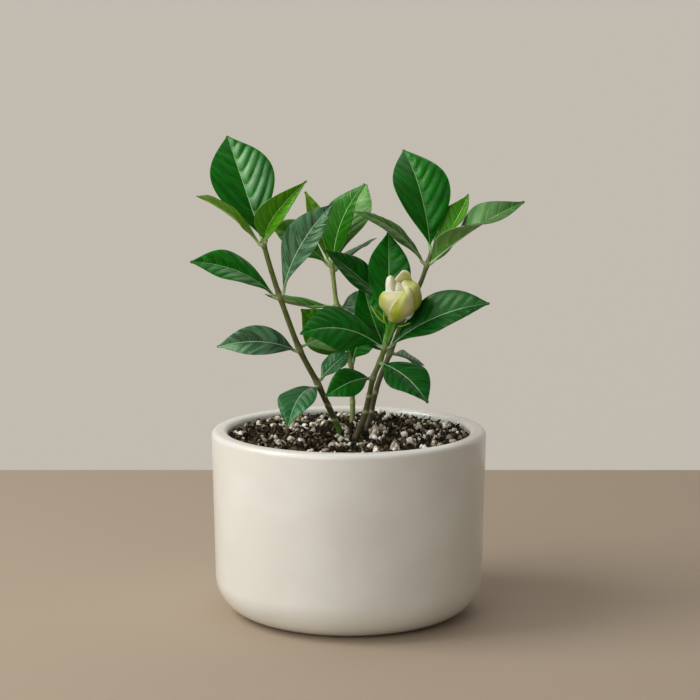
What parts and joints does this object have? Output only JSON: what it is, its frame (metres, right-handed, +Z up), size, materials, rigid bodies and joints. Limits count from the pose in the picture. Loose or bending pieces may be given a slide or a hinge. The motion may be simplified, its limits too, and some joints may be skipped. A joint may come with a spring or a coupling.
{
  "type": "potted gardenia",
  "caption": "Young flowering shrub with glossy leaves and a half-open white bud, rooted in potting mix in a round-cornered glazed planter.",
  "frame": {"origin": "centre of the planter's flat underside, which stands on the surface", "axes": "+Z up along the planter's axis; -Y towards the front, the side the picture shows; +X to its right"},
  "size_m": [0.1798, 0.1525, 0.2601],
  "materials": {
    "planter_glaze": "satin off-white glaze",
    "potting_mix": "damp peat and bark with perlite",
    "stem_bark": "thin olive-brown bark",
    "stem_green": "young green bark",
    "leaf_mature": "waxy gloss",
    "leaf_young": "waxy satin",
    "calyx_green": "smooth satin",
    "petal_white": "soft matt with a silky sheen"
  },
  "bodies": {
    "root": {"planter": "planter_glaze", "soil": "potting_mix", "stem_left": "stem_bark", "stem_back": "stem_green", "stem_front": "stem_bark", "stem_right": "stem_bark", "leaf_left_1": "leaf_mature", "leaf_left_2": "leaf_young", "leaf_left_3": "leaf_young", "leaf_left_4": "leaf_mature", "leaf_left_5": "leaf_mature", "leaf_left_6": "leaf_mature", "leaf_left_7": "leaf_young", "leaf_left_8": "leaf_mature", "leaf_left_9": "leaf_mature", "leaf_back_1": "leaf_young", "leaf_back_2": "leaf_young", "leaf_back_3": "leaf_young", "leaf_back_4": "leaf_mature", "leaf_back_5": "leaf_mature", "leaf_back_6": "leaf_mature", "leaf_back_7": "leaf_mature", "leaf_back_8": "leaf_mature", "leaf_back_9": "leaf_mature", "leaf_front_1": "leaf_mature", "leaf_front_2": "leaf_mature", "leaf_front_3": "leaf_mature", "leaf_front_4": "leaf_mature", "leaf_front_5": "leaf_mature", "leaf_right_1": "leaf_mature", "leaf_right_2": "leaf_mature", "leaf_right_3": "leaf_mature", "leaf_right_4": "leaf_mature", "leaf_right_5": "leaf_young", "leaf_right_6": "leaf_mature", "leaf_right_7": "leaf_mature", "calyx": "calyx_green", "bud": "petal_white"}
  },
  "joints": []
}
